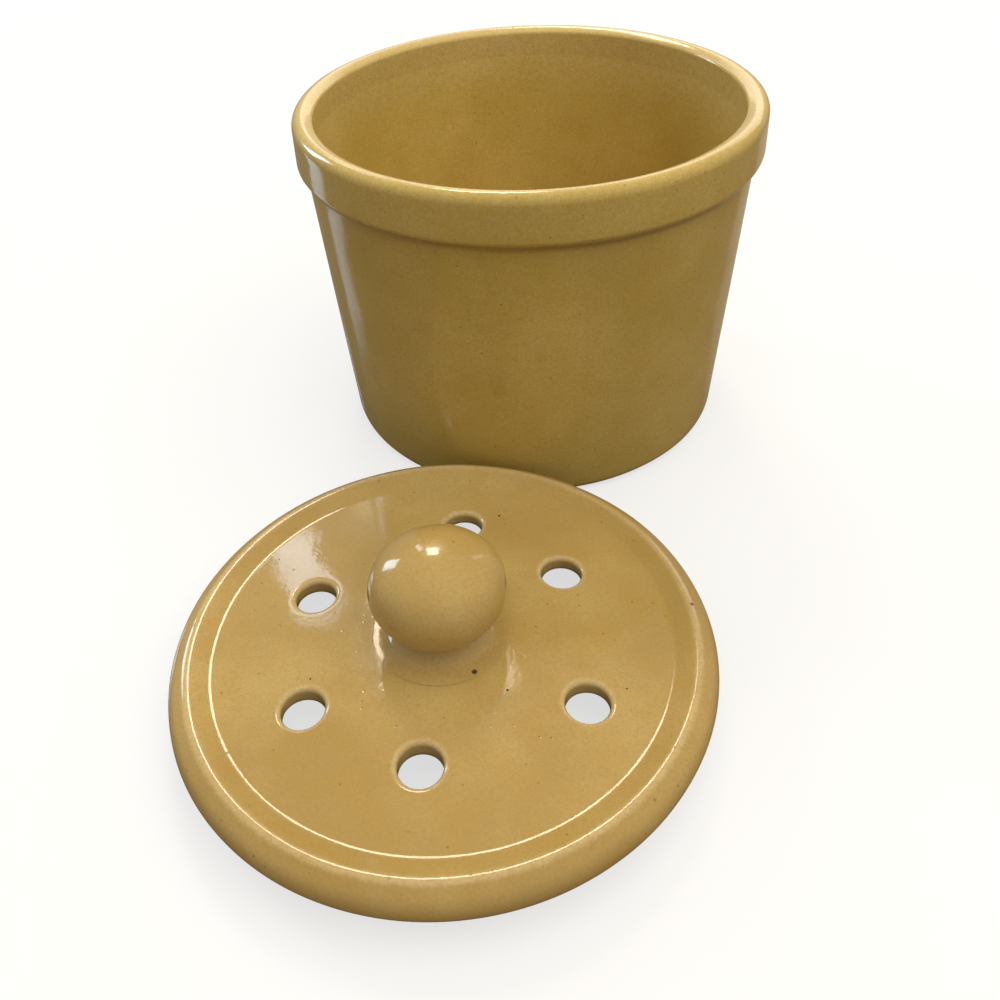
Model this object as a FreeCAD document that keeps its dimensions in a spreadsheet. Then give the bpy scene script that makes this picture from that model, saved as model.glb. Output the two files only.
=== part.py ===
import FreeCAD, Part
import math
import os
import Sketcher

# Garlic keeper in glazed stoneware: a tapered crock with a banded rim, and a
# vented lid with a ball knob that lies beside it.
# Millimetres, +Z up. The origin is the middle of the crock's flat base.

doc = FreeCAD.newDocument("garlic_keeper")

# Driving dimensions
SIZES = [
    # the crock
    ("rim_diameter", 127.0),
    ("crock_height", 94.4),
    ("base_diameter", 110.0),
    ("band_height", 14.4),
    ("band_overhang", 2.3),
    ("band_step", 1.85),
    ("band_edge_round", 2.0),
    ("band_cove", 3.0),
    ("rim_outer_round", 2.8),
    ("rim_inner_round", 1.2),
    ("rim_slope", 27.0),
    ("rim_thickness", 5.9),
    ("mouth_land", 8.6),
    ("wall_thickness", 5.2),
    ("floor_thickness", 6.5),
    ("floor_round", 9.0),
    ("base_round", 3.5),
    # the lid
    ("lid_overlap", 2.8),
    ("flange_clearance", 1.2),
    ("flange_depth", 7.2),
    ("flange_thickness", 5.2),
    ("flange_edge_round", 1.6),
    ("flange_root_round", 1.0),
    ("ceiling_rise", 2.8),
    ("ceiling_round", 2.2),
    ("lid_side_height", 4.6),
    ("lid_side_round", 4.4),
    ("lid_foot_round", 2.2),
    ("crest_inset", 4.4),
    ("crest_rise", 7.5),
    ("crest_round", 2.4),
    ("valley_inset", 9.6),
    ("valley_rise", 5.5),
    ("valley_round", 3.4),
    ("seat_rise", 8.0),
    # the vents, cut by hand, so each has its own angle and its own reach
    ("vent_diameter", 9.0),
    ("vent_top_round", 1.3),
    ("vent_under_round", 0.8),
    ("vent_angle_1", 33.5),
    ("vent_angle_2", 84.5),
    ("vent_angle_3", 160.0),
    ("vent_angle_4", 215.5),
    ("vent_angle_5", 266.2),
    ("vent_angle_6", 330.2),
    ("vent_reach_1", 32.4),
    ("vent_reach_2", 34.2),
    ("vent_reach_3", 31.8),
    ("vent_reach_4", 34.0),
    ("vent_reach_5", 32.8),
    ("vent_reach_6", 36.0),
    # the knob
    ("knob_width", 30.0),
    ("knob_height", 22.3),
    ("knob_side_round", 9.0),
    ("neck_diameter", 18.0),
    ("neck_height", 4.4),
    ("neck_cove", 3.0),
    ("neck_top_round", 1.0),
    ("foot_diameter", 25.0),
    ("foot_edge", 0.5),
    # where the lid lies, with its edge beside the crock's wall
    ("lid_gap", 1.0),
    ("lid_bearing", -100.4),
]


def make_sheet():
    sheet = doc.addObject("Spreadsheet::Sheet", "sizes")
    for row, (alias, size) in enumerate(SIZES, start=1):
        sheet.set(f"A{row}", alias)
        sheet.set(f"B{row}", str(size))
        sheet.setAlias(f"B{row}", alias)
    doc.recompute()
    return sheet


sheet = make_sheet()

# Places that several features share, as expressions on the sheet
RIM = "sizes.rim_diameter / 2"
MOUTH = f"({RIM} - sizes.rim_thickness)"
WALL_TOP = f"({RIM} - sizes.band_overhang)"
BASE = "sizes.base_diameter / 2"
BAND_FOOT = "(sizes.crock_height - sizes.band_height)"
BAND_EDGE = f"({BAND_FOOT} + sizes.band_step)"
LAND_FOOT = "(sizes.crock_height - sizes.mouth_land)"
# the rim's top falls inwards, so its sharp outer corner is above the rounded rim
RIM_ANGLE = "sizes.rim_slope * 1 deg"
RIM_CORNER = f"(sizes.crock_height + sizes.rim_outer_round * (1 / cos({RIM_ANGLE}) + tan({RIM_ANGLE}) - 1))"
MOUTH_CORNER = f"({RIM_CORNER} - sizes.rim_thickness * tan({RIM_ANGLE}))"
INNER_FLOOR = f"({BASE} + ({WALL_TOP} - {BASE}) * sizes.floor_thickness / {BAND_FOOT} - sizes.wall_thickness)"

LID = f"({MOUTH} + sizes.lid_overlap)"
FLANGE_OUT = f"({MOUTH} - sizes.flange_clearance)"
FLANGE_IN = f"({FLANGE_OUT} - sizes.flange_thickness)"
CEILING = "(sizes.flange_depth + sizes.ceiling_rise)"
SIDE_TOP = "(sizes.flange_depth + sizes.lid_side_height)"
CREST = f"({LID} - sizes.crest_inset)"
CREST_TOP = "(sizes.flange_depth + sizes.crest_rise)"
VALLEY = f"({LID} - sizes.valley_inset)"
VALLEY_TOP = "(sizes.flange_depth + sizes.valley_rise)"
SEAT = "(sizes.flange_depth + sizes.seat_rise)"
FOOT = "sizes.foot_diameter / 2"
NECK = "sizes.neck_diameter / 2"
KNOB = "sizes.knob_width / 2"

VENTS = range(1, 7)


def value(expression):
    """The number that an expression on the sheet gives."""
    return float(sheet.evalExpression(expression))


def make_body(label):
    body = doc.addObject("PartDesign::Body", label)
    body.Label = label
    doc.recompute()
    return body


def origin_plane(body, role):
    return next(feature for feature in body.Origin.OriginFeatures if feature.Role == role)


def new_sketch(body, name, role):
    sketch = body.newObject("Sketcher::SketchObject", name)
    sketch.AttachmentSupport = (origin_plane(body, role), [""])
    sketch.MapMode = "FlatFace"
    doc.recompute()
    return sketch


def bind(sketch, constraint, expression):
    """Add a dimension to a sketch and drive it from the sheet."""
    index = sketch.addConstraint(constraint)
    sketch.setExpression(f"Constraints[{index}]", expression)
    return index


def pin_point(sketch, edge, end, x, y):
    """Hold one end of an edge at a place given by two expressions."""
    if x == "0":
        sketch.addConstraint(Sketcher.Constraint("PointOnObject", edge, end, -2))
    else:
        bind(sketch, Sketcher.Constraint("DistanceX", -1, 1, edge, end, value(x)), x)
    if y == "0":
        sketch.addConstraint(Sketcher.Constraint("PointOnObject", edge, end, -1))
    else:
        bind(sketch, Sketcher.Constraint("DistanceY", -1, 1, edge, end, value(y)), y)


def vector(point):
    return FreeCAD.Vector(value(point[0]), value(point[1]), 0)


def dome_arc(start, end):
    """An arc from start to end whose centre is on the axis."""
    middle = (start.y + end.y) / 2
    slope = (start.x**2 - end.x**2) / (2 * (end.y - start.y))
    centre = FreeCAD.Vector(0, middle - slope, 0)
    radius = centre.distanceToPoint(start)
    first = math.atan2(start.y - centre.y, start.x)
    last = math.atan2(end.y - centre.y, end.x)
    return Part.ArcOfCircle(Part.Circle(centre, FreeCAD.Vector(0, 0, 1), radius), first, last)


def half_section(body, name, corners, domed=()):
    """A closed half section in the XZ plane; sides named in domed are arcs."""
    sketch = new_sketch(body, name, "XZ_Plane")
    count = len(corners)
    for side in range(count):
        start = vector(corners[side])
        end = vector(corners[(side + 1) % count])
        if side in domed:
            sketch.addGeometry(dome_arc(start, end), False)
            sketch.addConstraint(Sketcher.Constraint("PointOnObject", side, 3, -2))
        else:
            sketch.addGeometry(Part.LineSegment(start, end), False)
    for side in range(count):
        sketch.addConstraint(Sketcher.Constraint("Coincident", side, 2, (side + 1) % count, 1))
    for side, corner in enumerate(corners):
        pin_point(sketch, side, 1, corner[0], corner[1])
    doc.recompute()
    return sketch


def revolve(body, name, sketch):
    solid = body.newObject("PartDesign::Revolution", name)
    solid.Profile = sketch
    solid.ReferenceAxis = (sketch, ["V_Axis"])
    solid.Angle = 360
    doc.recompute()
    return solid


def ring_edges(shape, place):
    """Names of the circular edges about the Z axis at one corner of a section."""
    radius, height = value(place[0]), value(place[1])
    names = []
    for number, edge in enumerate(shape.Edges, start=1):
        if edge.Degenerated or not isinstance(edge.Curve, Part.Circle):
            continue
        curve = edge.Curve
        at_height = abs(curve.Center.z - height) < 0.01
        on_axis = math.hypot(curve.Center.x, curve.Center.y) < 0.01
        if at_height and on_axis and abs(curve.Radius - radius) < 0.01:
            names.append(f"Edge{number}")
    return names


def fillet(body, name, base, edges, radius):
    rounding = body.newObject("PartDesign::Fillet", name)
    rounding.Base = (base, edges)
    rounding.setExpression("Radius", radius)
    doc.recompute()
    return rounding


def round_rings(body, base, roundings):
    """Fillet the rings of a turned solid, one named radius after another."""
    for name, place, radius in roundings:
        base = fillet(body, name, base, ring_edges(base.Shape, place), radius)
    return base


def make_crock():
    body = make_body("crock")
    section = half_section(body, "crock_section", [
        ("0", "0"),
        (BASE, "0"),
        (WALL_TOP, BAND_FOOT),
        (RIM, BAND_EDGE),
        (RIM, RIM_CORNER),
        (MOUTH, MOUTH_CORNER),
        (MOUTH, LAND_FOOT),
        (INNER_FLOOR, "sizes.floor_thickness"),
        ("0", "sizes.floor_thickness"),
    ])
    turned = revolve(body, "crock_turned", section)
    round_rings(body, turned, [
        ("base_corner", (BASE, "0"), "sizes.base_round"),
        ("cove_under_band", (WALL_TOP, BAND_FOOT), "sizes.band_cove"),
        ("band_edge", (RIM, BAND_EDGE), "sizes.band_edge_round"),
        ("rim_outside", (RIM, RIM_CORNER), "sizes.rim_outer_round"),
        ("rim_inside", (MOUTH, MOUTH_CORNER), "sizes.rim_inner_round"),
        ("floor_corner", (INNER_FLOOR, "sizes.floor_thickness"), "sizes.floor_round"),
    ])
    return body


def vent_place(vent):
    """The X and Y of one vent's centre, as expressions."""
    turn = f"sizes.vent_angle_{vent} * 1 deg"
    return f"sizes.vent_reach_{vent} * cos({turn})", f"sizes.vent_reach_{vent} * sin({turn})"


def vent_sketch(body):
    """One circle for each vent, at its own angle and reach."""
    sketch = new_sketch(body, "vent_section", "XY_Plane")
    radius = "sizes.vent_diameter / 2"
    for circle, vent in enumerate(VENTS):
        x, y = vent_place(vent)
        bore = Part.Circle(vector((x, y)), FreeCAD.Vector(0, 0, 1), value(radius))
        sketch.addGeometry(bore, False)
        pin_point(sketch, circle, 3, x, y)
        bind(sketch, Sketcher.Constraint("Radius", circle, value(radius)), radius)
    doc.recompute()
    return sketch


def vent_edges(shape, under):
    """Names of the vents' rims, those under the lid or those on top of it."""
    names = []
    for number, edge in enumerate(shape.Edges, start=1):
        box = edge.BoundBox
        for vent in VENTS:
            centre = vector(vent_place(vent))
            off_centre = math.hypot(box.Center.x - centre.x, box.Center.y - centre.y)
            is_rim = off_centre < 0.2 and box.ZLength < 2
            is_under = abs(box.ZMin - value(CEILING)) < 0.01
            if is_rim and is_under == under:
                names.append(f"Edge{number}")
    return names


def make_lid():
    body = make_body("lid")
    section = half_section(body, "lid_section", [
        ("0", CEILING),
        (FLANGE_IN, CEILING),
        (FLANGE_IN, "0"),
        (FLANGE_OUT, "0"),
        (FLANGE_OUT, "sizes.flange_depth"),
        (LID, "sizes.flange_depth"),
        (LID, SIDE_TOP),
        (CREST, CREST_TOP),
        (VALLEY, VALLEY_TOP),
        (FOOT, SEAT),
        ("0", SEAT),
    ], domed=[8])
    turned = revolve(body, "lid_turned", section)
    rounded = round_rings(body, turned, [
        ("ceiling_corner", (FLANGE_IN, CEILING), "sizes.ceiling_round"),
        ("flange_inside", (FLANGE_IN, "0"), "sizes.flange_edge_round"),
        ("flange_outside", (FLANGE_OUT, "0"), "sizes.flange_edge_round"),
        ("flange_root", (FLANGE_OUT, "sizes.flange_depth"), "sizes.flange_root_round"),
        ("lid_foot", (LID, "sizes.flange_depth"), "sizes.lid_foot_round"),
        ("lid_side", (LID, SIDE_TOP), "sizes.lid_side_round"),
        ("crest", (CREST, CREST_TOP), "sizes.crest_round"),
        ("valley", (VALLEY, VALLEY_TOP), "sizes.valley_round"),
    ])
    vents = body.newObject("PartDesign::Pocket", "vents")
    vents.Profile = vent_sketch(body)
    vents.Type = "ThroughAll"
    vents.Reversed = True
    doc.recompute()
    removed = rounded.Shape.Volume - vents.Shape.Volume
    if removed < len(VENTS) * value("sizes.vent_diameter")**2:
        raise RuntimeError("the vents aren't cut")
    top = fillet(body, "vent_tops", vents, vent_edges(vents.Shape, False), "sizes.vent_top_round")
    fillet(body, "vent_undersides", top, vent_edges(top.Shape, True), "sizes.vent_under_round")
    return body


def knob_arc(centre, radius, start, end):
    first = math.atan2(start.y - centre.y, start.x - centre.x)
    last = math.atan2(end.y - centre.y, end.x - centre.x)
    return Part.ArcOfCircle(Part.Circle(centre, FreeCAD.Vector(0, 0, 1), radius), first, last)


def make_knob():
    """A flattened ball on a waisted neck, from three tangent arcs and a foot."""
    body = make_body("lid_knob")
    sketch = new_sketch(body, "knob_section", "XZ_Plane")
    half_width, half_height = value(KNOB), value("sizes.knob_height / 2")
    side_round = value("sizes.knob_side_round")
    neck, foot, edge = value(NECK), value(FOOT), value("sizes.foot_edge")
    # the cap's radius that meets the side's arc without a corner
    offset = half_width - side_round
    cap = (offset**2 + half_height**2 - side_round**2) / (2 * (half_height - side_round))
    # the ball sits so that its underside meets the neck's top
    under = math.sqrt(cap**2 - neck**2) - (cap - half_height)
    middle = edge + value("sizes.neck_height") + under
    side_centre = FreeCAD.Vector(offset, middle, 0)
    low_centre = FreeCAD.Vector(0, middle + cap - half_height, 0)
    high_centre = FreeCAD.Vector(0, middle - cap + half_height, 0)
    low_joint = low_centre + (side_centre - low_centre).normalize() * cap
    high_joint = high_centre + (side_centre - high_centre).normalize() * cap
    neck_top = FreeCAD.Vector(neck, middle - under, 0)
    crown = FreeCAD.Vector(0, middle + half_height, 0)
    corners = [FreeCAD.Vector(0, 0, 0), FreeCAD.Vector(foot, 0, 0), FreeCAD.Vector(foot, edge, 0),
               FreeCAD.Vector(neck, edge, 0), neck_top]
    for start, end in zip(corners, corners[1:]):
        sketch.addGeometry(Part.LineSegment(start, end), False)
    low, side, high, axis = 4, 5, 6, 7
    sketch.addGeometry(knob_arc(low_centre, cap, neck_top, low_joint), False)
    sketch.addGeometry(knob_arc(side_centre, side_round, low_joint, high_joint), False)
    sketch.addGeometry(knob_arc(high_centre, cap, high_joint, crown), False)
    sketch.addGeometry(Part.LineSegment(crown, corners[0]), False)
    for line in range(4):
        sketch.addConstraint(Sketcher.Constraint("Coincident", line, 2, line + 1, 1))
    sketch.addConstraint(Sketcher.Constraint("Tangent", low, 2, side, 1))
    sketch.addConstraint(Sketcher.Constraint("Tangent", side, 2, high, 1))
    sketch.addConstraint(Sketcher.Constraint("Coincident", high, 2, axis, 1))
    sketch.addConstraint(Sketcher.Constraint("Coincident", axis, 2, 0, 1))
    pin_point(sketch, 0, 1, "0", "0")
    pin_point(sketch, 1, 1, FOOT, "0")
    pin_point(sketch, 2, 1, FOOT, "sizes.foot_edge")
    pin_point(sketch, 3, 1, NECK, "sizes.foot_edge")
    pin_point(sketch, 4, 1, NECK, "(sizes.foot_edge + sizes.neck_height)")
    sketch.addConstraint(Sketcher.Constraint("PointOnObject", low, 3, -2))
    sketch.addConstraint(Sketcher.Constraint("PointOnObject", high, 3, -2))
    sketch.addConstraint(Sketcher.Constraint("PointOnObject", high, 2, -2))
    sketch.addConstraint(Sketcher.Constraint("Equal", low, high))
    bind(sketch, Sketcher.Constraint("Radius", side, side_round), "sizes.knob_side_round")
    bind(sketch, Sketcher.Constraint("DistanceX", -1, 1, side, 3, offset),
         f"{KNOB} - sizes.knob_side_round")
    doc.recompute()
    # the height of the ball drives its crown through the radius of its caps
    cap_rule = f"(({KNOB} - sizes.knob_side_round)^2 + (sizes.knob_height / 2)^2"
    cap_rule += " - sizes.knob_side_round^2) / (sizes.knob_height - 2 * sizes.knob_side_round)"
    bind(sketch, Sketcher.Constraint("Radius", high, cap), cap_rule)
    doc.recompute()
    turned = revolve(body, "knob_turned", sketch)
    round_rings(body, turned, [
        ("neck_flare", (NECK, "sizes.foot_edge"), "sizes.neck_cove"),
        ("neck_top", (NECK, "(sizes.foot_edge + sizes.neck_height)"), "sizes.neck_top_round"),
    ])
    return body


def place(body, distance, height):
    """Lie a piece beside the crock, on the lid's bearing from the crock's axis."""
    body.setExpression("Placement.Base.x", f"{distance} * cos(sizes.lid_bearing * 1 deg)")
    body.setExpression("Placement.Base.y", f"{distance} * sin(sizes.lid_bearing * 1 deg)")
    if height != "0":
        body.setExpression("Placement.Base.z", height)


def lid_distance():
    """From the crock's axis to the lid's: the lid's widest edge clears the wall by lid_gap."""
    wall = f"({BASE} + ({WALL_TOP} - {BASE}) * {SIDE_TOP} / {BAND_FOOT})"
    return f"({wall} + sizes.lid_gap + {LID})"


crock = make_crock()
lid = make_lid()
lid_knob = make_knob()
place(lid, lid_distance(), "0")
place(lid_knob, lid_distance(), SEAT)
doc.recompute()

parts = [crock, lid, lid_knob]
for item in doc.Objects:
    if "Invalid" in item.State or "Error" in item.State:
        raise RuntimeError(f"{item.Name} failed: {item.State}")
for part in parts:
    if part.Shape.isNull() or not part.Shape.isValid() or len(part.Shape.Solids) != 1:
        raise RuntimeError(f"{part.Label} isn't one valid solid")

os.makedirs("parts", exist_ok=True)
for part in parts:
    part.Shape.exportStep(f"parts/{part.Label}.step")
    box = part.Shape.BoundBox
    print(part.Label, "volume", round(part.Shape.Volume / 1000, 1), "cm3",
          "from", round(box.XMin, 2), round(box.YMin, 2), round(box.ZMin, 2),
          "to", round(box.XMax, 2), round(box.YMax, 2), round(box.ZMax, 2))
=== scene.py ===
import math

import bmesh
import bpy
from mathutils import Matrix, Vector, noise


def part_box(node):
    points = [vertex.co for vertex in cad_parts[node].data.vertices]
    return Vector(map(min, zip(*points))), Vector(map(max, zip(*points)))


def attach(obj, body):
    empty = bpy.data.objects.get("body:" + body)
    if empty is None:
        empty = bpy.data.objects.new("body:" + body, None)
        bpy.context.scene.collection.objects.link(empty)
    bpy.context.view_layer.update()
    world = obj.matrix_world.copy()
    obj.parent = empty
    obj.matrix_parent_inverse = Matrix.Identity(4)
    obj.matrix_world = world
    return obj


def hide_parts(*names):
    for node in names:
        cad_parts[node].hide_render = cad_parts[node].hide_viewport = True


# A glazed stoneware garlic keeper: the crock, and its vented lid lying beside it.
# Lengths in the dictionaries are millimetres, and the meshes are in metres.

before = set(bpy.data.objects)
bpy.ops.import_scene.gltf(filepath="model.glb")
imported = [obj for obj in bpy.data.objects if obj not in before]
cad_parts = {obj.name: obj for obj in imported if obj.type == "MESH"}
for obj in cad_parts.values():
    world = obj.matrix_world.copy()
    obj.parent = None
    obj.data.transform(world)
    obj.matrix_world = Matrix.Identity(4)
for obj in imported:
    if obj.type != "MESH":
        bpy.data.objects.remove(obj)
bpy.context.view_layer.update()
mm = 0.001


# Sections and meshes

# A section's points from (radius, height, rounding) corners, with long sides divided.
def roundCorners(corners, arcSteps=10, longest=2.0):
    points = []
    last = len(corners) - 1
    for index, (r, z, rounding) in enumerate(corners):
        corner = Vector((r, z))
        if rounding == 0 or index in (0, last):
            points.append(corner)
            continue
        before = (Vector(corners[index - 1][:2]) - corner).normalized()
        after = (Vector(corners[index + 1][:2]) - corner).normalized()
        half = before.angle(after) / 2
        centre = corner + (before + after).normalized() * rounding / math.sin(half)
        start = corner + before * rounding / math.tan(half) - centre
        end = corner + after * rounding / math.tan(half) - centre
        sweep = math.atan2(start.cross(end), start.dot(end))
        for step in range(arcSteps + 1):
            points.append(centre + Matrix.Rotation(sweep * step / arcSteps, 2) @ start)
    divided = [points[0]]
    for point in points[1:]:
        pieces = math.ceil((point - divided[-1]).length / longest)
        first = divided[-1].copy()
        divided += [first.lerp(point, step / pieces) for step in range(1, pieces + 1)]
    return divided


# Spin a section about the upright line through centre.
def turnedMesh(section, centre, steps):
    mesh = bmesh.new()
    verts = [mesh.verts.new((centre[0] + p.x * mm, centre[1], p.y * mm)) for p in section]
    edges = [mesh.edges.new(pair) for pair in zip(verts, verts[1:])]
    bmesh.ops.spin(mesh, geom=verts + edges, cent=(*centre, 0), axis=(0, 0, 1),
                   angle=math.tau, steps=steps, use_merge=True)
    bmesh.ops.remove_doubles(mesh, verts=mesh.verts, dist=1e-6)
    return mesh


# Quads between closed rows of the same number of vertices.
def bridgeRows(mesh, rows):
    for low, high in zip(rows, rows[1:]):
        for index in range(len(low)):
            following = (index + 1) % len(low)
            mesh.faces.new((low[index], low[following], high[following], high[index]))


# How near a point of the section is to any (radius, height, reach) edge, from 0 to 1.
def nearness(r, z, edges):
    return max([0] + [1 - math.hypot(r - edgeR, z - edgeZ) / reach for edgeR, edgeZ, reach in edges])


# Let the surface swell and dip as a thrown pot's does, mark where the glaze is thin, where light is painted
# paler and where shade is painted darker, and put the piece in its CAD node's place.
def finishPiece(mesh, name, body, node, centre, values, ventCentres=()):
    bmesh.ops.recalc_face_normals(mesh, faces=mesh.faces)
    mesh.normal_update()
    moves = []
    for vert in mesh.verts:
        soft = noise.noise(vert.co / (values["waveLength"] * mm)) * 0.5 + 0.5
        grounded = vert.co.z < values["flatBelow"] * mm
        moves.append(Vector() if grounded else -vert.normal * soft * values["waveDepth"] * mm)
    thinAndPaintedLight = mesh.verts.layers.float.new("thinGlazeAndPaintedLight")
    for vert, move in zip(mesh.verts, moves):
        r = math.hypot(vert.co.x - centre[0], vert.co.y - centre[1]) / mm
        z = vert.co.z / mm
        share = nearness(r, z, values["paleEdgesAndPaintedLight"])
        for x, y in ventCentres:
            away = math.hypot(vert.co.x - x, vert.co.y - y) / mm
            if z > values["ventThinAbove"]:
                share = max(share, 1 - abs(away - values["ventThinRadius"]) / values["ventThinReach"])
        vert[thinAndPaintedLight] = share - nearness(r, z, values["paintedShadeEdges"])  # below 0 where shade is painted, in the crease beneath the crock's band
        vert.co += move
    data = bpy.data.meshes.new(name)
    for face in mesh.faces:
        face.smooth = True
    mesh.to_mesh(data)
    mesh.free()
    piece = bpy.data.objects.new(name, data)
    bpy.context.scene.collection.objects.link(piece)
    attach(piece, body)
    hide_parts(node)
    return piece


# The crock

crockValues = {
    "baseRadius": 55.0, "wallTopRadius": 61.2, "bandFoot": 80.0, "bandEdge": 81.85,
    "rimRadius": 63.5, "rimCorner": 96.17, "mouthRadius": 57.6, "mouthCorner": 93.16, "landFoot": 85.8,
    "innerFloorRadius": 50.3, "floor": 6.5,
    "baseRound": 3.5, "bandCove": 3.0, "bandRound": 2.0, "rimOuterRound": 2.8, "rimInnerRound": 1.2,
    "landRound": 4.0, "floorRound": 9.0, "spinSteps": 256,
    "waveLength": 26, "waveDepth": 0.22, "flatBelow": 0.4,
    # pale thin glaze on the rim's top, and painted light: a paler wash inside the mouth where light falls in
    "paleEdgesAndPaintedLight": [(60.0, 94.4, 3.6), (44.0, 92.0, 33.0)],
    # painted shade in the crease beneath the band
    "paintedShadeEdges": [(61.4, 80.2, 3.4)],
}


def makeCrock(v):
    section = roundCorners([
        (0, 0, 0),
        (v["baseRadius"], 0, v["baseRound"]),
        (v["wallTopRadius"], v["bandFoot"], v["bandCove"]),
        (v["rimRadius"], v["bandEdge"], v["bandRound"]),
        (v["rimRadius"], v["rimCorner"], v["rimOuterRound"]),
        (v["mouthRadius"], v["mouthCorner"], v["rimInnerRound"]),
        (v["mouthRadius"], v["landFoot"], v["landRound"]),
        (v["innerFloorRadius"], v["floor"], v["floorRound"]),
        (0, v["floor"], 0),
    ])
    mesh = turnedMesh(section, (0, 0), v["spinSteps"])
    return finishPiece(mesh, "crockGlazed", "crock", "crock", (0, 0), v)


crock = makeCrock(crockValues)
print("crock", len(crock.data.polygons), "faces")


# The lid, with its six vents

lidLow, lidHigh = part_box("lid")
lidCentre = ((lidLow.x + lidHigh.x) / 2, (lidLow.y + lidHigh.y) / 2)
lidValues = {
    "radius": 60.4, "flangeOut": 56.4, "flangeIn": 51.2, "shoulder": 7.2, "ceiling": 10.0,
    "sideTop": 11.8, "crest": (56.0, 14.7), "valley": (50.8, 12.7), "seatRadius": 12.5,
    "seat": 15.2, "plateOut": 46.0, "plateIn": 22.0, "domeRings": (46.8, 47.6, 48.4),
    "ventAngles": (33.5, 84.5, 160.0, 215.5, 266.2, 330.2),
    "ventReaches": (32.4, 34.2, 31.8, 34.0, 32.8, 36.0),
    "ventRadius": 4.5, "ventTopRound": 1.3, "ventUnderRound": 0.8,
    "valleyRound": 3.4, "crestRound": 2.4, "sideRound": 4.4, "footRound": 2.2, "flangeRootRound": 1.0,
    "flangeRound": 1.6, "ceilingRound": 2.2,
    "arcSteps": 44, "raySteps": 16, "plateSteps": 14, "topSteps": 8, "wallSteps": 4, "underSteps": 5,
    "middleSteps": 11,
    "waveLength": 22, "waveDepth": 0.2, "flatBelow": 0.4,
    "paleEdgesAndPaintedLight": [(56.0, 14.9, 2.4)], "paintedShadeEdges": [],
    "ventThinRadius": 5.0, "ventThinReach": 1.5, "ventThinAbove": 11,
}


# Height of the lid's low dome, an arc whose centre is on the lid's axis.
def domeHeight(v, r):
    valleyR, valleyZ = v["valley"]
    seatR, seatZ = v["seatRadius"], v["seat"]
    middle = (valleyZ + seatZ) / 2 - (valleyR**2 - seatR**2) / (2 * (seatZ - valleyZ))
    radius = math.hypot(seatR, seatZ - middle)
    return middle + math.sqrt(radius**2 - max(r, seatR)**2)


# A point about the lid's axis.
def polar(r, turn):
    return Vector((r * math.cos(turn), r * math.sin(turn)))


# The closed outline of the plate round one vent, between two rays from the lid's axis.
def ventCell(v, turns):
    radii = [v["plateIn"] + (v["plateOut"] - v["plateIn"]) * step / v["raySteps"]
             for step in range(v["raySteps"] + 1)]
    outline = [(v["plateIn"], turn) for turn in turns[:-1]]
    outline += [(r, turns[-1]) for r in radii[:-1]]
    outline += [(v["plateOut"], turn) for turn in reversed(turns[1:])]
    outline += [(r, turns[0]) for r in reversed(radii[1:])]
    return [polar(r, turn) for r, turn in outline]


# Rows of (flat point, height) from the cell's outline over the plate, down the vent and back beneath.
def ventRows(v, hub, outline):
    rays = [(p - hub).normalized() for p in outline]
    wide = v["ventRadius"] + v["ventTopRound"]
    narrow = v["ventRadius"] + v["ventUnderRound"]
    wallFoot = v["ceiling"] + v["ventUnderRound"]
    rows = []
    for step in range(v["plateSteps"]):
        share = step / v["plateSteps"]
        spots = [p.lerp(hub + ray * wide, share) for p, ray in zip(outline, rays)]
        rows.append([(spot, domeHeight(v, spot.length)) for spot in spots])
    # the rounded edge on top
    for step in range(v["topSteps"] + 1):
        turn = math.pi / 2 * step / v["topSteps"]
        spots = [hub + ray * (wide - v["ventTopRound"] * math.sin(turn)) for ray in rays]
        drop = v["ventTopRound"] * (1 - math.cos(turn))
        rows.append([(spot, domeHeight(v, spot.length) - drop) for spot in spots])
    # the vent's wall
    wallTop = rows[-1]
    for step in range(1, v["wallSteps"]):
        share = step / v["wallSteps"]
        rows.append([(spot, height * (1 - share) + wallFoot * share) for spot, height in wallTop])
    # its rounded edge underneath, and the ceiling out to the outline
    for step in range(v["underSteps"] + 1):
        turn = math.pi / 2 * step / v["underSteps"]
        away = v["ventRadius"] + v["ventUnderRound"] * (1 - math.cos(turn))
        rows.append([(hub + ray * away, wallFoot - v["ventUnderRound"] * math.sin(turn)) for ray in rays])
    for step in range(1, v["plateSteps"] + 1):
        share = step / v["plateSteps"]
        rows.append([((hub + ray * narrow).lerp(p, share), v["ceiling"]) for p, ray in zip(outline, rays)])
    return rows


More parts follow.
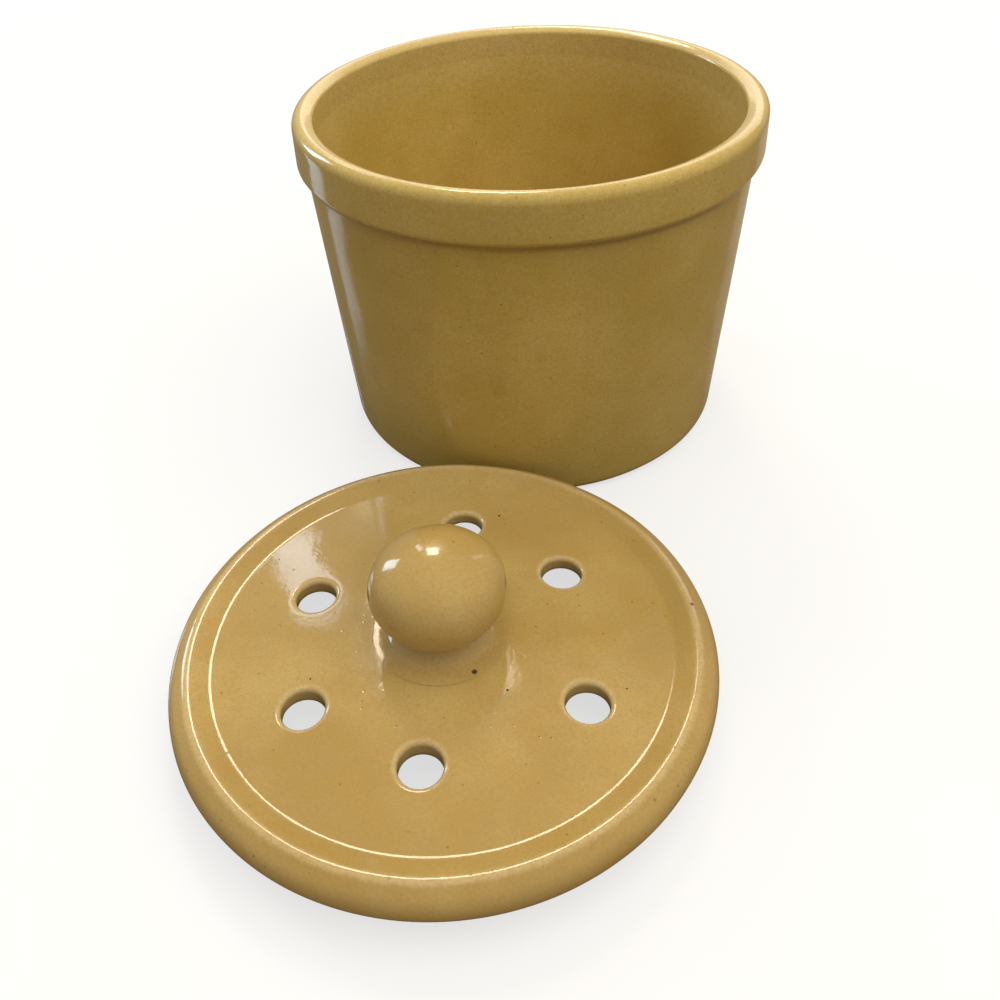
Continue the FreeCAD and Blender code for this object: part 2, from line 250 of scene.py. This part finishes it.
def makeLid(v):
    mesh = bmesh.new()

    def addRow(row):
        return [mesh.verts.new((lidCentre[0] + flat.x * mm, lidCentre[1] + flat.y * mm, height * mm))
                for flat, height in row]

    # each vent's cell runs from halfway to the vent before it to halfway to the next
    angles = [math.radians(angle) for angle in v["ventAngles"]]
    ends = [(angle + following) / 2 for angle, following in zip(angles, angles[1:] + [angles[0] + math.tau])]
    hubs = [polar(reach, angle) for reach, angle in zip(v["ventReaches"], angles)]
    allTurns = []
    for first, last, hub in zip([ends[-1] - math.tau] + ends[:-1], ends, hubs):
        turns = [first + (last - first) * step / v["arcSteps"] for step in range(v["arcSteps"] + 1)]
        allTurns += turns[:-1]
        bridgeRows(mesh, [addRow(row) for row in ventRows(v, hub, ventCell(v, turns))])

    def ring(r, z):
        return addRow([(polar(r, turn), z) for turn in allTurns])

    # the middle, top and underside
    radii = [v["plateIn"] * step / v["middleSteps"] for step in range(1, v["middleSteps"] + 1)]
    for rows in ([ring(r, domeHeight(v, r)) for r in radii], [ring(r, v["ceiling"]) for r in radii]):
        bridgeRows(mesh, rows)
        mesh.faces.new(rows[0])
    # the edge: valley, crest, side, flange and back under the plate
    dome = [(r, domeHeight(v, r), 0) for r in (v["plateOut"], *v["domeRings"])]
    section = roundCorners(dome + [
        (*v["valley"], v["valleyRound"]),
        (*v["crest"], v["crestRound"]),
        (v["radius"], v["sideTop"], v["sideRound"]),
        (v["radius"], v["shoulder"], v["footRound"]),
        (v["flangeOut"], v["shoulder"], v["flangeRootRound"]),
        (v["flangeOut"], 0, v["flangeRound"]),
        (v["flangeIn"], 0, v["flangeRound"]),
        (v["flangeIn"], v["ceiling"], v["ceilingRound"]),
        (v["plateOut"], v["ceiling"], 0),
    ], longest=1.5)
    bridgeRows(mesh, [ring(p.x, p.y) for p in section])
    bmesh.ops.remove_doubles(mesh, verts=mesh.verts, dist=2e-6)
    ventCentres = [(lidCentre[0] + hub.x * mm, lidCentre[1] + hub.y * mm) for hub in hubs]
    return finishPiece(mesh, "lidGlazed", "lid", "lid", lidCentre, v, ventCentres)


lid = makeLid(lidValues)
print("lid", len(lid.data.polygons), "faces")


# The knob

knobValues = {
    "halfWidth": 15.0, "halfHeight": 11.15, "sideRound": 9.0, "middle": 28.9,
    "neck": 9.0, "neckTopRound": 1.2, "flare": 4.2, "flareEnd": 15.0,
    "capSteps": 20, "sideSteps": 40, "spinSteps": 160,
    "waveLength": 16, "waveDepth": 0.14, "flatBelow": 0.4,
    "paleEdgesAndPaintedLight": [(0, 40.0, 5.0), (9.5, 20.4, 1.4)], "paintedShadeEdges": [],
}


# A flattened ball: a wide arc over the top, a tighter one round the side, and a waisted neck.
def makeKnob(v):
    offset = v["halfWidth"] - v["sideRound"]
    cap = (offset**2 + v["halfHeight"]**2 - v["sideRound"]**2) / (2 * (v["halfHeight"] - v["sideRound"]))
    rise = cap - v["halfHeight"]
    joint = math.atan2(rise, offset)
    ball = []
    for step in range(v["capSteps"]):
        turn = math.pi / 2 + (joint - math.pi / 2) * step / v["capSteps"]
        ball.append((cap * math.cos(turn), v["middle"] - rise + cap * math.sin(turn), 0))
    for step in range(v["sideSteps"] + 1):
        turn = joint - 2 * joint * step / v["sideSteps"]
        ball.append((offset + v["sideRound"] * math.cos(turn),
                     v["middle"] + v["sideRound"] * math.sin(turn), 0))
    under = v["middle"] + rise - math.sqrt(cap**2 - v["neck"]**2)
    seat = lidValues["seat"]
    section = roundCorners(ball + [
        (v["neck"], under, v["neckTopRound"]),
        (v["neck"], seat, v["flare"]),
        (v["flareEnd"], seat, 0),
    ], longest=1.0)
    mesh = turnedMesh(section, lidCentre, v["spinSteps"])
    return finishPiece(mesh, "knobGlazed", "lid", "lid_knob", lidCentre, v)


knob = makeKnob(knobValues)
print("knob", len(knob.data.polygons), "faces")


# Materials

# A shader value that takes plain arithmetic.
class Wire:
    def __init__(self, tree, socket):
        self.tree = tree
        self.socket = socket

    def node(self, kind, inputs, output=0, **settings):
        made = self.tree.nodes.new(kind)
        for name, setting in settings.items():
            setattr(made, name, setting)
        for key, item in inputs.items():
            if isinstance(item, Wire):
                self.tree.links.new(item.socket, made.inputs[key])
            else:
                made.inputs[key].default_value = item
        return Wire(self.tree, made.outputs[output])

    def calculate(self, operation, first, second):
        return self.node("ShaderNodeMath", {0: first, 1: second}, operation=operation)

    def __add__(self, other):
        return self.calculate("ADD", self, other)

    def __sub__(self, other):
        return self.calculate("SUBTRACT", self, other)

    def __mul__(self, other):
        return self.calculate("MULTIPLY", self, other)

    def __radd__(self, other):
        return self.calculate("ADD", other, self)

    def __rsub__(self, other):
        return self.calculate("SUBTRACT", other, self)

    def __rmul__(self, other):
        return self.calculate("MULTIPLY", other, self)

    # 0 below low, 1 above high and a smooth step from one to the other
    def between(self, low, high):
        return self.node("ShaderNodeMapRange", {"Value": self, "From Min": low, "From Max": high},
                         interpolation_type="SMOOTHSTEP")

    # noise about as coarse as size, in millimetres, on this position
    def noise(self, size, detail=2.0, seed=0.0):
        moved = self.node("ShaderNodeVectorMath", {0: self, 1: (seed, seed * 0.7, -seed)}, operation="ADD")
        return self.node("ShaderNodeTexNoise", {"Vector": moved, "Scale": 1 / (size * mm), "Detail": detail})

    def mix(self, other, share):
        return self.node("ShaderNodeMix", {0: share, 6: self, 7: other}, output=2, data_type="RGBA")


def colour(wire, rgb):
    made = wire.tree.nodes.new("ShaderNodeRGB")
    made.outputs[0].default_value = (*rgb, 1)
    return Wire(wire.tree, made.outputs[0])


# Pits in the lid's top and the knob's foot, below the ball and above the flange.
def pitShare(place, height, look):
    flat = place.node("ShaderNodeVectorMath", {0: place, 1: (1, 1, 0)}, operation="MULTIPLY")
    share = height * 0.0
    for x, y, radius in look["pits"]:
        spot = (lidCentre[0] + x * mm, lidCentre[1] + y * mm, 0)
        away = place.node("ShaderNodeVectorMath", {0: flat, 1: spot}, output=1, operation="DISTANCE")
        share = share.calculate("MAXIMUM", share, 1 - away.between(radius * 0.5 * mm, radius * mm))
    aboveFlange = height.between(*[z * mm for z in look["pitsBegin"]])
    upToBall = 1 - height.between(*[z * mm for z in look["pitsEnd"]])
    return share * upToBall * aboveFlange


# Small dark specks, on some of the cells only.
def speckShare(place, spacing):
    cell = {"Vector": place, "Scale": 1 / (spacing * mm)}
    away = place.node("ShaderNodeTexVoronoi", cell)
    chance = place.node("ShaderNodeSeparateColor", {0: place.node("ShaderNodeTexVoronoi", cell, output=1)})
    return (1 - away.between(0.05, 0.16)) * chance.between(0.55, 0.9)


# Warm ochre glaze: clouds of tone, pale where it is thin, painted light paler inside the crock's mouth,
# painted shade beneath its band, specks, pits and bare clay underneath.
def glaze(name, look):
    material = bpy.data.materials.new(name)
    material.use_nodes = True
    tree = material.node_tree
    shader = tree.nodes["Principled BSDF"]
    place = Wire(tree, tree.nodes.new("ShaderNodeTexCoord").outputs["Object"])
    height = place.node("ShaderNodeSeparateXYZ", {0: place}, output=2)
    thinAndPaintedLight = place.node("ShaderNodeAttribute", {}, output=2, attribute_name="thinGlazeAndPaintedLight")

    cloud = place.noise(look["cloudSize"], 3.0, look["seed"]).between(0.3, 0.7)
    drift = place.noise(look["driftSize"], 4.0, look["seed"] + 3).between(0.42, 0.72)
    ragged = place.noise(look["raggedSize"], 3.0, 5.0) - 0.5
    # pale where the glaze is thin on edges and round the vents, and painted light inside the crock's mouth
    paleGlazeAndPaintedLight = (thinAndPaintedLight + ragged * 0.5).between(0.25, 0.95)
    # painted shade: darker in the crease beneath the crock's band
    paintedShade = (0 - thinAndPaintedLight).between(0.1, 0.9)
    grain = place.noise(look["grainSize"], 3.0, 1.0).between(0.35, 0.7)  # the clay body showing through
    speck = speckShare(place, look["speckSpacing"])
    pit = pitShare(place, height, look)
    footLine = height + (place.noise(look["bareSize"]) - 0.5) * look["bareRagged"] * mm
    bare = 1 - footLine.between(look["bareBelow"] * mm, look["glazedAbove"] * mm)

    tone = colour(place, look["deep"]).mix(colour(place, look["pale"]), cloud)
    tone = tone.mix(colour(place, look["warm"]), drift * look["warmShare"])
    tone = tone.mix(colour(place, look["cream"]), paleGlazeAndPaintedLight * look["creamShare"])
    tone = tone.mix(colour(place, look["paintedShadeTone"]), paintedShade * look["paintedShadeShare"])
    tone = tone.mix(colour(place, look["grain"]), grain * look["grainShare"])
    tone = tone.mix(colour(place, look["speck"]), speck * look["speckShare"])
    tone = tone.mix(colour(place, look["pit"]), pit * look["pitShare"])
    tone = tone.mix(colour(place, look["clay"]), bare)
    tree.links.new(tone.socket, shader.inputs["Base Color"])

    matt = place.noise(look["mattSize"], 2.0, 9.0).between(0.3, 0.75) * look["mattShare"] + look["roughness"]
    matt = matt + paleGlazeAndPaintedLight * look["paleGlazeRoughness"] + bare * look["clayRoughness"]
    tree.links.new(matt.socket, shader.inputs["Roughness"])

    relief = place.noise(look["rippleSize"], 1.0, 2.0) * look["rippleHeight"]
    relief = relief + place.noise(look["skinSize"], 2.0, 4.0) * look["skinHeight"]
    relief = relief - speck * look["speckDepth"] - pit * look["pitDepth"]
    relief = relief + bare * place.noise(look["claySize"]) * look["clayHeight"]
    bump = place.node("ShaderNodeBump", {"Strength": 1.0, "Distance": mm, "Height": relief})
    tree.links.new(bump.socket, shader.inputs["Normal"])
    shader.inputs["IOR"].default_value = look["ior"]
    return material


# A pit in the glaze, placed about the lid's axis.
def pitAt(reach, angle, radius):
    return (*polar(reach, math.radians(angle)), radius)


glazeLook = {
    "cream": (0.72, 0.58, 0.34), "grain": (0.30, 0.18, 0.06), "speck": (0.10, 0.055, 0.02),
    "clay": (0.62, 0.52, 0.38), "paintedShadeTone": (0.20, 0.12, 0.035), "pit": (0.035, 0.018, 0.008),
    "warmShare": 0.3, "creamShare": 0.5, "paintedShadeShare": 0.7, "grainShare": 0.3, "speckShare": 0.5,
    "pitShare": 0.9, "seed": 0.0,
    "cloudSize": 34.0, "driftSize": 7.0, "raggedSize": 1.6, "grainSize": 0.55, "speckSpacing": 2.4,
    "ior": 1.52, "roughness": 0.08, "mattSize": 11.0, "mattShare": 0.05, "paleGlazeRoughness": 0.03,
    "clayRoughness": 0.6, "bareBelow": 0.3, "glazedAbove": 0.5, "bareSize": 3.0, "bareRagged": 0.6,
    "rippleSize": 19.0, "rippleHeight": 0.35, "skinSize": 1.4, "skinHeight": 0.02,
    "claySize": 0.4, "clayHeight": 0.12, "speckDepth": 0.02, "pitDepth": 0.25,
    "pits": [], "pitsBegin": (11.5, 11.8), "pitsEnd": (16.8, 17.2),
}
# The crock and the lid wear one glaze. The crock's tones are painted lighter and the lid's darker, making up
# for the shade on the crock's upright wall and the light on the lid's top.
crockLook = dict(glazeLook, deep=(0.50, 0.36, 0.082), pale=(0.585, 0.43, 0.125), warm=(0.52, 0.34, 0.06))
lidLook = dict(glazeLook, deep=(0.39, 0.26, 0.078), pale=(0.485, 0.34, 0.118), warm=(0.42, 0.25, 0.053),
               seed=0.4, creamShare=0.35,
               pits=[pitAt(13.8, -56, 0.75), pitAt(39.5, 72, 0.4), pitAt(21.6, -47, 0.35),
                     pitAt(56.4, 8, 0.45), pitAt(30, 205, 0.25), pitAt(42, -20, 0.25)])

for piece, name, look in ((crock, "crock", crockLook), (lid, "lid", lidLook), (knob, "knob", lidLook)):
    piece.data.materials.append(glaze(f"{name}Glaze", look))
print("glazes")


# Floor, light and camera

# The camera sees floorColour and floorRoughness. The object is lit by, and reflects, a darker
# table with floorBounce and tableRoughness.
stageValues = {
    "floorSize": 6.0, "floorDrop": 0.0002, "floorColour": (0.80, 0.80, 0.79, 1), "floorRoughness": 0.8,
    "floorBounce": (0.20, 0.15, 0.10, 1), "tableRoughness": 0.12,
    "whiteShare": 0.68, "whiteFrom": (0.24, 0.75),
    "worldColour": (1.0, 0.95, 0.86, 1), "worldStrength": 0.40,
    "lens": 36.987, "sensor": 36, "shiftX": 0.0344, "shiftY": -0.1446,
    "cameraPlace": (0, -0.26805, 0.1922), "cameraRight": (0.99773, 0.04188, -0.05274),
    "cameraUp": (0.01995, 0.5641, 0.82547), "cameraForward": (-0.06432, 0.82464, -0.56198),
    "lampAim": (-0.01, -0.06, 0.04),
}


# A plain white shader that only the camera sees, as much of it as share says.
def showWhite(start, kind, share, output):
    white = start.node(kind, {"Color": (1, 1, 1, 1), "Strength": 1.0})
    mixed = start.node("ShaderNodeMixShader", {0: share, 1: start, 2: white})
    start.tree.links.new(mixed.socket, start.tree.nodes[output].inputs["Surface"])


def makeFloor(v):
    mesh = bmesh.new()
    bmesh.ops.create_grid(mesh, x_segments=1, y_segments=1, size=v["floorSize"] / 2)
    bmesh.ops.translate(mesh, verts=mesh.verts, vec=(0, 0, -v["floorDrop"]))
    data = bpy.data.meshes.new("floor")
    mesh.to_mesh(data)
    mesh.free()
    floor = bpy.data.objects.new("floor", data)
    bpy.context.scene.collection.objects.link(floor)
    material = bpy.data.materials.new("paleFloor")
    material.use_nodes = True
    tree = material.node_tree
    shader = tree.nodes["Principled BSDF"]
    start = Wire(tree, shader.outputs[0])
    camera = start.node("ShaderNodeLightPath", {}, output=0)
    matt = v["tableRoughness"] + camera * (v["floorRoughness"] - v["tableRoughness"])
    tree.links.new(matt.socket, shader.inputs["Roughness"])
    seen = start.node("ShaderNodeMix", {0: camera, 6: v["floorBounce"], 7: v["floorColour"]},
                      output=2, data_type="RGBA")
    tree.links.new(seen.socket, shader.inputs["Base Color"])
    # whiter away from the object, where no shadow falls
    position = start.node("ShaderNodeNewGeometry", {}, output=0)
    away = start.node("ShaderNodeVectorMath", {0: position}, output=1, operation="LENGTH")
    share = v["whiteShare"] + away.between(*v["whiteFrom"]) * (1 - v["whiteShare"])
    showWhite(start, "ShaderNodeEmission", camera * share, "Material Output")
    data.materials.append(material)


def makeWorld(v):
    world = bpy.data.worlds.new("room")
    bpy.context.scene.world = world
    world.use_nodes = True
    tree = world.node_tree
    room = tree.nodes["Background"]
    room.inputs["Color"].default_value = v["worldColour"]
    room.inputs["Strength"].default_value = v["worldStrength"]
    start = Wire(tree, room.outputs[0])
    camera = start.node("ShaderNodeLightPath", {}, output=0)
    showWhite(start, "ShaderNodeBackground", camera, "World Output")


def makeCamera(v):
    lens = bpy.data.cameras.new("photo")
    lens.sensor_width = v["sensor"]
    lens.lens = v["lens"]
    lens.shift_x = v["shiftX"]
    lens.shift_y = v["shiftY"]
    lens.clip_start = 0.01
    camera = bpy.data.objects.new("photo", lens)
    right, up, forward = Vector(v["cameraRight"]), Vector(v["cameraUp"]), Vector(v["cameraForward"])
    turn = Matrix((right, up, -forward)).transposed()
    camera.matrix_world = Matrix.Translation(v["cameraPlace"]) @ turn.to_4x4()
    bpy.context.scene.collection.objects.link(camera)
    bpy.context.scene.camera = camera


# Each lamp's direction from the object, distance, size in metres, power in watts and tint.
lampValues = {
    "key": ((0.30, -0.18, 0.94), 1.4, (1.8, 1.8), 22.5, (1.0, 0.93, 0.80)),
    "backGlow": ((-0.09, 0.62, 0.78), 1.8, (0.38, 0.38), 7.6, (1.0, 0.88, 0.68)),
    "backWall": ((0.22, 0.86, 0.46), 2.2, (2.2, 0.8), 9, (1.0, 0.93, 0.80)),
    "window": ((-0.76, 0.52, 0.38), 1.8, (0.36, 0.66), 7.5, (0.66, 0.83, 1.0)),
    "farWindow": ((-0.33, 0.72, 0.60), 2.2, (0.16, 0.5), 1.6, (0.78, 0.88, 1.0)),
}


def addLamp(name, direction, distance, size, power, tint):
    light = bpy.data.lights.new(name, "AREA")
    light.shape = "RECTANGLE"
    light.size, light.size_y = size
    light.energy = power
    light.color = tint
    lamp = bpy.data.objects.new(name, light)
    bpy.context.scene.collection.objects.link(lamp)
    toward = Vector(direction).normalized()
    lamp.location = Vector(stageValues["lampAim"]) + toward * distance
    lamp.rotation_euler = toward.to_track_quat("Z", "Y").to_euler()
    return lamp


makeFloor(stageValues)
makeWorld(stageValues)
makeCamera(stageValues)
lamps = {name: addLamp(name, *values) for name, values in lampValues.items()}
lamps["key"].visible_glossy = False  # it would show as a large square in the glaze
bpy.context.scene.view_settings.view_transform = "Standard"
print("stage")
